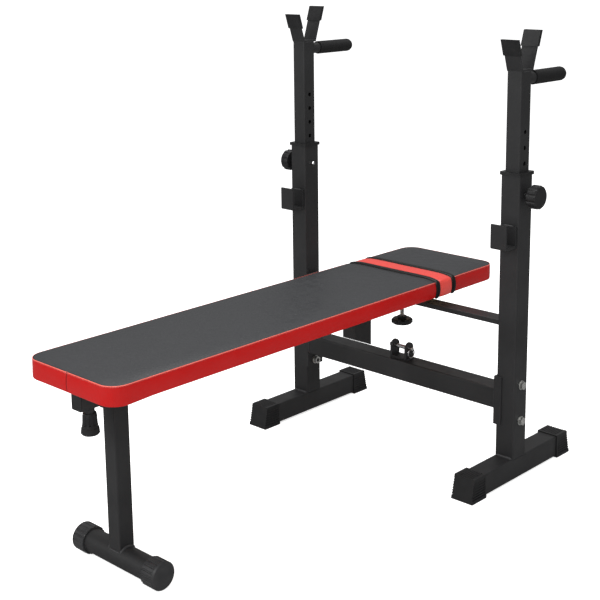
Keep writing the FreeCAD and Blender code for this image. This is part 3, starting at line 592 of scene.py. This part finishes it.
def stripe_band(name, start, end, tree, material, rise, edge_rise):
    """A padded band sewn across the cover, closed, its edges sunk into the seams."""
    steps = 11
    sunk = 1.5 * MM
    outer, inner = [], []
    for i in range(steps):
        share = i / (steps - 1)
        proud = edge_rise + (rise - edge_rise) * (1 - abs(2 * share - 1) ** 4)
        path = stripe_path(start + (end - start) * share, tree)
        outer.append([p + w * proud for p, w in path])
        inner.append([p - w * sunk for p, w in path])
    long = len(outer[0])
    for row in outer:
        for _ in range(SMOOTHINGS):
            before = [p.copy() for p in row]
            for j in range(1, long - 1):
                row[j] = before[j] * 0.5 + (before[j - 1] + before[j + 1]) * 0.25
    points = [p for row in outer for p in row] + [p for row in inner for p in row]
    below = steps * long
    faces = []
    for i in range(steps - 1):
        for j in range(long - 1):
            a, b, c, d = i * long + j, i * long + j + 1, (i + 1) * long + j + 1, (i + 1) * long + j
            faces += [(a, b, c, d), (below + d, below + c, below + b, below + a)]
    for j in range(long - 1):
        last = (steps - 1) * long
        faces += [(j + 1, j, below + j, below + j + 1),
                  (last + j, last + j + 1, below + last + j + 1, below + last + j)]
    for i in range(steps - 1):
        a, b = i * long, (i + 1) * long
        faces.append((a, b, below + b, below + a))
        a, b = a + long - 1, b + long - 1
        faces.append((b, a, below + a, below + b))
    band = new_object(name, points, faces, material)
    mesh = bmesh.new()
    mesh.from_mesh(band.data)
    bmesh.ops.recalc_face_normals(mesh, faces=mesh.faces)
    mesh.to_mesh(band.data)
    mesh.free()
    subdivide(band)
    return piece(band, "rack_frame")


pad_surface = surface_of(cushion)
stripe_red = stripe_band("pad_stripe", STRIPE[1] - 0.4 * MM, STRIPE[2] + 0.4 * MM, pad_surface,
                         stripe_vinyl, rise=3.0 * MM, edge_rise=1.6 * MM)
for end, start in (("front", 0), ("rear", 2)):
    stripe_band(f"pad_binding_{end}", STRIPE[start], STRIPE[start + 1], pad_surface,
                binding_vinyl, rise=4.4 * MM, edge_rise=0.4 * MM)


def uncovered(path):
    """The two stretches of a closed line round the pad that the stripe doesn't cover."""
    hidden = [STRIPE[0] + 4 * MM < p.y < STRIPE[3] - 4 * MM for p in path]
    first = next(i for i in range(len(path)) if hidden[i - 1] and not hidden[i])
    runs = [[]]
    for i in range(len(path)):
        at = (first + i) % len(path)
        if not hidden[at]:
            runs[-1].append(path[at])
        elif runs[-1]:
            runs.append([])
    return [run for run in runs if run]


def cord_of(name, paths, size, material):
    """A thin round cord sewn along lines of the cover."""
    return joined(name, [swept(path, lambda i: round_profile(size)) for path in paths],
                  "rack_frame", "pad_cover", material)


# partly painted shade: a black cord along the top seam, both the cover's black piping and the dark
# shadow line of the seam's crease
cord_of("pad_piping_shade_line", uncovered([p + Vector((0, 0, 0.8 * MM)) for p in seam_line]), 1.1 * MM,
        binding_vinyl)
# painted highlight: the welt's light pink colour stands in for the highlight along the boxing's top
# edge
cord_of("pad_welt_highlight", uncovered(welt_line), 0.95 * MM, welt_highlight_vinyl)
# painted shade: a dark red cord down the front seam's groove
front_seam = [pad_surface.ray_cast(Vector((0, pad_low.y - 50 * MM, z)), Vector((0, 1, 0)))[0]
              for z in np.arange(pad_low.z + 0.5 * MM, pad_high.z - 2.5 * MM, 2 * MM)]
cord_of("pad_front_seam_shade", [front_seam], 0.8 * MM, seam_shade_vinyl)


def stitches(path, closed, keep, pitch=4.6 * MM, length=3.2 * MM, radius=0.35 * MM):
    """Small rounded stitches along a path, each a closed mesh."""
    parts = []
    shares, sizes = (-0.5, -0.34, 0, 0.34, 0.5), (0.35, 0.9, 1.0, 0.9, 0.35)
    travelled, target = 0.0, 0.0
    count = len(path) if closed else len(path) - 1
    for i in range(count):
        a, b = path[i], path[(i + 1) % len(path)]
        step = (b - a).length
        while target <= travelled + step and step > 0:
            middle = a.lerp(b, (target - travelled) / step)
            target += pitch
            if keep(middle):
                way = (b - a).normalized()
                parts.append(swept([middle + way * length * share for share in shares],
                                   lambda k: round_profile(radius * sizes[k], 6)))
        travelled += step
    return parts


STITCH_RISE = 0.1 * MM
boxing_line = []
for here in stitch_line:
    spot, outward = pad_surface.find_nearest(here)[:2]
    boxing_line.append(spot + outward * STITCH_RISE)
boxing_stitches = stitches(boxing_line, True,
                           lambda p: not STRIPE[0] - 1 * MM < p.y < STRIPE[3] + 1 * MM)
joined("pad_boxing_stitches", boxing_stitches, "rack_frame", "pad_cover", red_thread)

band_surface = surface_of(stripe_red)
band_stitches = []
for y in (STRIPE[1] + 3.2 * MM, STRIPE[2] - 3.2 * MM):
    line = [p + w * STITCH_RISE for p, w in stripe_path(y, band_surface)]
    band_stitches += stitches(line, False, lambda p: True)
joined("pad_stripe_stitches", band_stitches, "rack_frame", "pad_cover", red_thread)


# ---- underside of the pad: the cover folded on to the board and stapled -------------------------

HEM_THICK = 0.9 * MM
HEM_EDGES = (3.5 * MM, 30 * MM)   # from the pad's outline
HEM_TOP = pad_low.z - 0.05 * MM
STAPLE_LINE = 23 * MM
STAPLE_DROP = 1.35 * MM


def make_hem():
    """The cover's hem under the board, its inner edge cut by hand."""
    outer, inner = (perimeter(inset) for inset in HEM_EDGES)
    around = len(outer)
    rows = [[], [], [], []]
    for i, ((ax, ay), (bx, by)) in enumerate(zip(outer, inner)):
        wander = noise.noise(Vector((ax, ay, 0)) * 11.0) * 0.12
        bx, by = bx + (ax - bx) * wander, by + (ay - by) * wander
        ripple = 0.25 * MM * noise.noise(Vector((bx, by, 1)) * 55.0)
        rows[0].append((ax, ay, HEM_TOP))
        rows[1].append((ax, ay, pad_low.z - HEM_THICK * 0.7))
        rows[2].append((bx, by, pad_low.z - HEM_THICK - 0.2 * MM + ripple))
        rows[3].append((bx, by, HEM_TOP))
    points = [p for row in rows for p in row]
    faces = []
    for r in range(4):
        following = (r + 1) % 4
        for i in range(around):
            k = (i + 1) % around
            faces.append((r * around + i, following * around + i, following * around + k,
                          r * around + k))
    piece(new_object("pad_hem", points, faces, red_vinyl), "rack_frame")


def make_staples():
    """Staples through the hem, made like long stitches."""
    line = [Vector((x, y, pad_low.z - STAPLE_DROP)) for x, y in perimeter(STAPLE_LINE)]
    staples = stitches(line, True, lambda p: True, pitch=38 * MM, length=9 * MM, radius=0.5 * MM)
    joined("pad_staples", staples, "rack_frame", "zinc_steel", zinc)


make_hem()
make_staples()


# ---- welds --------------------------------------------------------------------------------------

BEAD = 3.0 * MM
LEG_BEAD = 2.0 * MM
SMALL_BEAD = 1.9 * MM
BRACKET_BEAD = 1.8 * MM
POST_BEAD = 1.6 * MM
BEAD_STEP = 0.8 * MM
WELD_PROUD = 0.4 * MM
HOOK_WELD_GAP = 49 * MM      # from the weld under a bar hook to the one over its back plate


def bead(corners, closed=False, radius=BEAD, seed=0):
    """A rippled weld bead along straight runs between corners, painted over with the frame."""
    path = []
    runs = len(corners) if closed else len(corners) - 1
    for i in range(runs):
        a, b = Vector(corners[i]), Vector(corners[(i + 1) % len(corners)])
        steps = max(2, int((b - a).length / BEAD_STEP))
        path += [a.lerp(b, k / steps) for k in range(steps)]
    if not closed:
        path.append(Vector(corners[-1]))

    def ring(i):
        wave = 1 + 0.13 * math.sin(i * 2 * math.pi / 3.1) + 0.14 * noise.noise(
            path[i] * 160.0 + Vector((seed, 0, 0)))
        fade = 1.0 if closed else min(1.0, 0.45 + 0.12 * min(i, len(path) - 1 - i))
        return round_profile(radius * wave * fade)

    return swept(path, ring, closed)


def square(low, high, z):
    """Corners of a box's outline at one height."""
    return [(low.x, low.y, z), (high.x, low.y, z), (high.x, high.y, z), (low.x, high.y, z)]


def along_x(low, high, y, z, short=4 * MM, radius=SMALL_BEAD, seed=0):
    """A bead between a box's ends in X, shorter by so much at each end."""
    return bead([(low.x + short, y, z), (high.x - short, y, z)], radius=radius, seed=seed)


def along_y(low, high, x, z, short=4 * MM, radius=SMALL_BEAD):
    """A bead between a box's ends in Y, shorter by so much at each end."""
    return bead([(x, low.y + short, z), (x, high.y - short, z)], radius=radius)


def side_beads(side, sign):
    """The welds on one upright: its foot, the support bar, the beam's flange and the bar hook."""
    low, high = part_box(f"{side}_upright")
    foot_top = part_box(f"{side}_foot_tube")[1].z
    beads = [along_x(low, high, y, foot_top + WELD_PROUD, radius=BEAD, seed=sign)
             for y in (low.y - WELD_PROUD, high.y + WELD_PROUD)]

    bar_low, bar_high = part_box("support_bar")
    face = (low.x if sign > 0 else high.x) - sign * WELD_PROUD
    beads += [along_y(bar_low, bar_high, face, z, 2 * MM, BRACKET_BEAD)
              for z in (bar_low.z, bar_high.z)]

    beam_low, beam_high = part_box("cross_beam")
    flange_low, flange_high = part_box(f"{side}_beam_flange")
    face = (flange_low.x if sign > 0 else flange_high.x) - sign * WELD_PROUD
    beads += [bead([(face, y, beam_low.z + 4 * MM), (face, y, beam_high.z - 4 * MM)],
                   radius=SMALL_BEAD) for y in (beam_low.y, beam_high.y)]
    beads += [along_y(beam_low, beam_high, face, z) for z in (beam_low.z, beam_high.z)]

    hook_low, hook_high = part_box(f"{side}_bar_hook")
    beads += [along_x(hook_low, hook_high, low.y - 5 * MM, z, 8 * MM)
              for z in (hook_low.z, hook_low.z + HOOK_WELD_GAP)]
    return beads


def leg_beads():
    """The welds of the front leg on the round foot tube, and under its plate."""
    leg_low, leg_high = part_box("front_leg")
    tube_low, tube_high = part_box("front_foot_tube")
    axis = (tube_low + tube_high) / 2
    radius = (tube_high.z - tube_low.z) / 2
    reach = math.asin((leg_high.y - leg_low.y) / 2 / radius)
    beads = [bead([(x, axis.y + radius * math.sin(t), axis.z + radius * math.cos(t))
                   for t in np.linspace(-reach, reach, 9)]) for x in (leg_low.x, leg_high.x)]
    for y in (leg_low.y, leg_high.y):
        height = axis.z + math.sqrt(radius ** 2 - (y - axis.y) ** 2)
        beads.append(along_x(leg_low, leg_high, y, height, 3 * MM, LEG_BEAD))
    plate_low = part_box("leg_plate")[0].z
    beads.append(bead(square(leg_low, leg_high, plate_low - 0.3 * MM), True, SMALL_BEAD))
    return beads


def bracket_beads(node, height):
    """The two welds along a bracket's sides."""
    low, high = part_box(node)
    return [along_y(low, high, x, height, 2 * MM, BRACKET_BEAD) for x in (low.x, high.x)]


def post_beads(side):
    """The welds of a post's handle bar and of its cradle."""
    low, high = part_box(f"{side}_post")
    bar_low, bar_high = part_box(f"{side}_handle_bar")
    middle = (bar_low + bar_high) / 2
    radius = (bar_high.z - bar_low.z) / 2
    circle = [(middle.x + radius * math.cos(t), high.y + 0.2 * MM,
               middle.z + radius * math.sin(t)) for t in np.linspace(0, 2 * math.pi, 25)[:-1]]
    return [bead(circle, True, SMALL_BEAD)] + [
        along_y(low, high, x, high.z + 0.1 * MM, radius=POST_BEAD)
        for x in (low.x + 1 * MM, high.x - 1 * MM)]


frame_beads = [made for side, sign in SIDES for made in side_beads(side, sign)]
frame_beads += bracket_beads("clevis_bracket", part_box("cross_beam")[1].z + 0.3 * MM)
frame_beads += leg_beads()
frame_beads += bracket_beads("rear_lug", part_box("rear_lug")[1].z - 0.3 * MM)
joined("frame_welds", frame_beads, "rack_frame", "black_steel", lit_weld_coat)
for side, _ in SIDES:
    joined(f"{side}_post_welds", post_beads(side), f"{side}_post", "black_steel", lit_weld_coat)


# ---- threaded clamp screw -----------------------------------------------------------------------

THREAD_PITCH, THREAD_DEPTH = 1.5 * MM, 0.75 * MM
TIP_LONG, TIP_DEEP = 2 * MM, 0.9 * MM


def threaded_rod(low, high, radius, around=24, per_turn=8):
    """A closed screw with a chamfered tip, whose thread is a helical wave on its own skin."""
    steps = int((high - low) / THREAD_PITCH * per_turn)
    points = []
    for j in range(steps + 1):
        share = j / steps
        z = low + (high - low) * share
        for i in range(around):
            phase = ((z - low) / THREAD_PITCH - i / around) % 1.0
            wave = abs(2 * phase - 1)
            end = min(1.0, (high - z) / TIP_LONG)
            size = radius - THREAD_DEPTH * wave - TIP_DEEP * (1 - end)
            angle = 2 * math.pi * i / around
            points.append((size * math.cos(angle), size * math.sin(angle), z))
    faces = [(j * around + i, j * around + (i + 1) % around,
              (j + 1) * around + (i + 1) % around, (j + 1) * around + i)
             for j in range(steps) for i in range(around)]
    faces.append(tuple(reversed(range(around))))
    faces.append(tuple(steps * around + i for i in range(around)))
    return points, faces


screw_low, screw_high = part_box("clamp_screw")
screw_points, screw_faces = threaded_rod(screw_low.z, screw_high.z,
                                         (screw_high.x - screw_low.x) / 2)
screw_middle = (screw_low + screw_high) / 2
screw_points = [(x + screw_middle.x, y + screw_middle.y, z) for x, y, z in screw_points]
screw = joined("clamp_screw_threaded", [(screw_points, screw_faces)], "clamp", "chrome", chrome)
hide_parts("clamp_screw")


# ---- stage: floor, lights, camera ---------------------------------------------------------------

FLOOR_REACH = Vector((60.0, 60.0))


def by_ray(tree, other, *rays):
    """A number that is different for some kinds of ray, given as (kind, number)."""
    paths = tree.nodes.new("ShaderNodeLightPath")
    source = None
    for kind, number in rays:
        level = tree.nodes.new("ShaderNodeMapRange")
        level.inputs["To Min"].default_value = other
        level.inputs["To Max"].default_value = number
        tree.links.new(paths.outputs[kind], level.inputs["Value"])
        if source:
            tree.links.new(source, level.inputs["To Min"])
        source = level.outputs["Result"]
    return source


def make_floor():
    """White paper that takes soft shadows, and is dimmer in what the object reflects."""
    floor = new_object("floor", square(-FLOOR_REACH, FLOOR_REACH, 0), [(0, 1, 2, 3)])
    floor.location.z = -0.2 * MM
    paper = Shader("floor_paper", (0.82, 0.82, 0.82), 0.9, Specular_IOR_Level=0.1)
    paper.drive("Roughness", paper.spread(paper.noise(3.0), 0.85, 0.95))
    paper.drive("Base Color", by_ray(paper.tree, 0.82, ("Is Glossy Ray", 0.16)))
    paper.main.inputs["Emission Color"].default_value = (1, 1, 1, 1)
    paper.drive("Emission Strength", by_ray(paper.tree, 0.30, ("Is Glossy Ray", 0.03),
                                            ("Is Camera Ray", 0.66)))
    floor.data.materials.append(paper.material)


def softbox(name, place, aim, size, watts):
    """A square lamp at a place, turned to a point."""
    light = bpy.data.lights.new(name, "AREA")
    light.shape = "SQUARE"
    light.size = size
    light.energy = watts
    lamp = bpy.data.objects.new(name, light)
    lamp.location = place
    lamp.rotation_euler = (Vector(aim) - Vector(place)).to_track_quat("-Z", "Y").to_euler()
    bpy.context.scene.collection.objects.link(lamp)


def make_world():
    """White to the camera, and a dimmer surround for what the object reflects."""
    world = bpy.data.worlds.new("studio")
    world.use_nodes = True
    tree = world.node_tree
    shade = tree.nodes["Background"]
    shade.inputs["Color"].default_value = (1, 1, 1, 1)
    strength = by_ray(tree, 0.66, ("Is Glossy Ray", 0.30), ("Is Camera Ray", 1.10))
    tree.links.new(strength, shade.inputs["Strength"])
    bpy.context.scene.world = world


CAMERA_AT = (1.7929, -1.8324, 1.1951)
CAMERA_YAW, CAMERA_DIP, CAMERA_ROLL = np.radians([43.007, 11.535, -0.489])
CAMERA_SHIFT = (-0.030, -0.170)


def make_camera():
    """A view from the front right, a little above the rack's top."""
    lens = bpy.data.cameras.new("camera")
    lens.lens = 72.83
    lens.sensor_width = 36
    lens.shift_x, lens.shift_y = CAMERA_SHIFT
    lens.clip_end = 200
    camera = bpy.data.objects.new("camera", lens)
    turn = Matrix.Rotation(CAMERA_YAW, 4, "Z") @ Matrix.Rotation(math.pi / 2 - CAMERA_DIP, 4, "X")
    camera.matrix_world = (Matrix.Translation(CAMERA_AT) @ turn
                           @ Matrix.Rotation(CAMERA_ROLL, 4, "Z"))
    bpy.context.scene.collection.objects.link(camera)
    bpy.context.scene.camera = camera


make_floor()
make_world()
softbox("top_box", (-0.3, 0.4, 3.4), (0, 0, 0.3), 2.8, 100)
softbox("front_box", (-1.0, -3.6, 1.9), (0, 0, 0.5), 2.2, 55)
softbox("key_box", (2.3, -3.0, 2.4), (0, 0, 0.5), 1.2, 66)
make_camera()
bpy.context.scene.view_settings.view_transform = "Standard"
